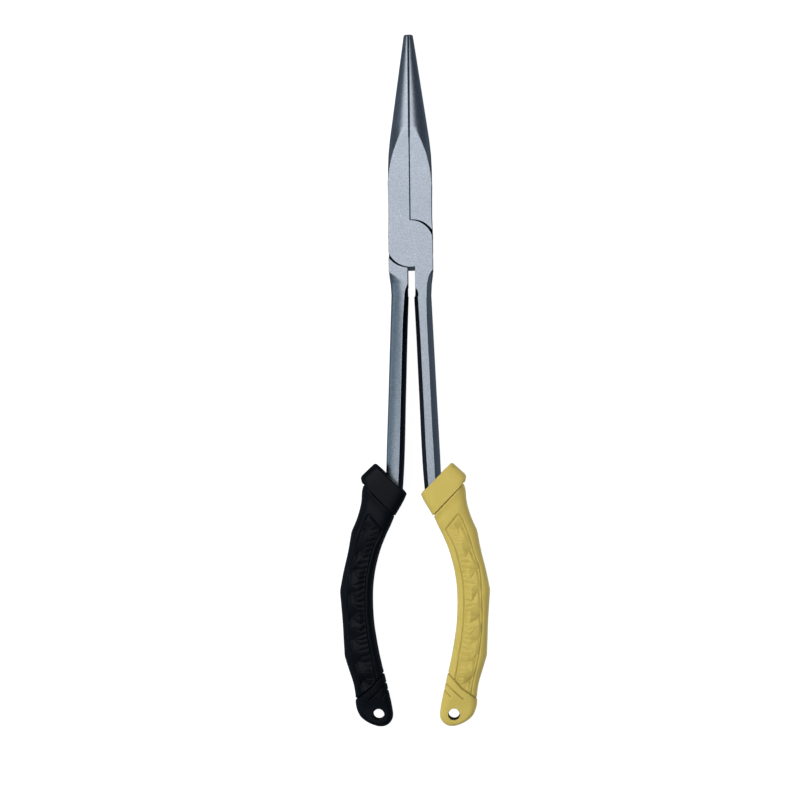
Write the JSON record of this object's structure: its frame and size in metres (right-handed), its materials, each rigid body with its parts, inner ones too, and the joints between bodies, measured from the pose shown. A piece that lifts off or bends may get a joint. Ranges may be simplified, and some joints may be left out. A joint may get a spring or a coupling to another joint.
{
  "type": "fishing pliers",
  "caption": "Long-reach needle-nose fishing pliers: forged levers on a riveted lap joint, toothed tapering jaws, slim arms, and moulded handle grips with lanyard holes.",
  "frame": {"origin": "on the pivot's axis, at the flat rear face of the joint (the rivet head's face)", "axes": "+Y along the closed jaws to their tips, +Z out of the front face along the pivot's axis, +X across the tool towards the yellow grip"},
  "size_m": [0.0606, 0.2793, 0.0138],
  "materials": {
    "lever_steel": "fine blasted satin with a blue-grey tint",
    "rivet_steel": "turned satin",
    "yellow_rubber": "matte, sand yellow",
    "black_rubber": "matte, black",
    "core_plastic": "moulded, near black"
  },
  "bodies": {
    "front_half": {"front_lever": "lever_steel", "pivot_rivet": "rivet_steel", "yellow_grip": "yellow_rubber", "yellow_grip_core": "core_plastic"},
    "rear_half": {"rear_lever": "lever_steel", "black_grip": "black_rubber", "black_grip_core": "core_plastic"}
  },
  "joints": [
    {"name": "pivot", "type": "hinge", "parent": "front_half", "child": "rear_half", "pos_m": [0, 0, 0.005], "axis": [0, 0, -1], "range_deg": [0, 45]}
  ]
}
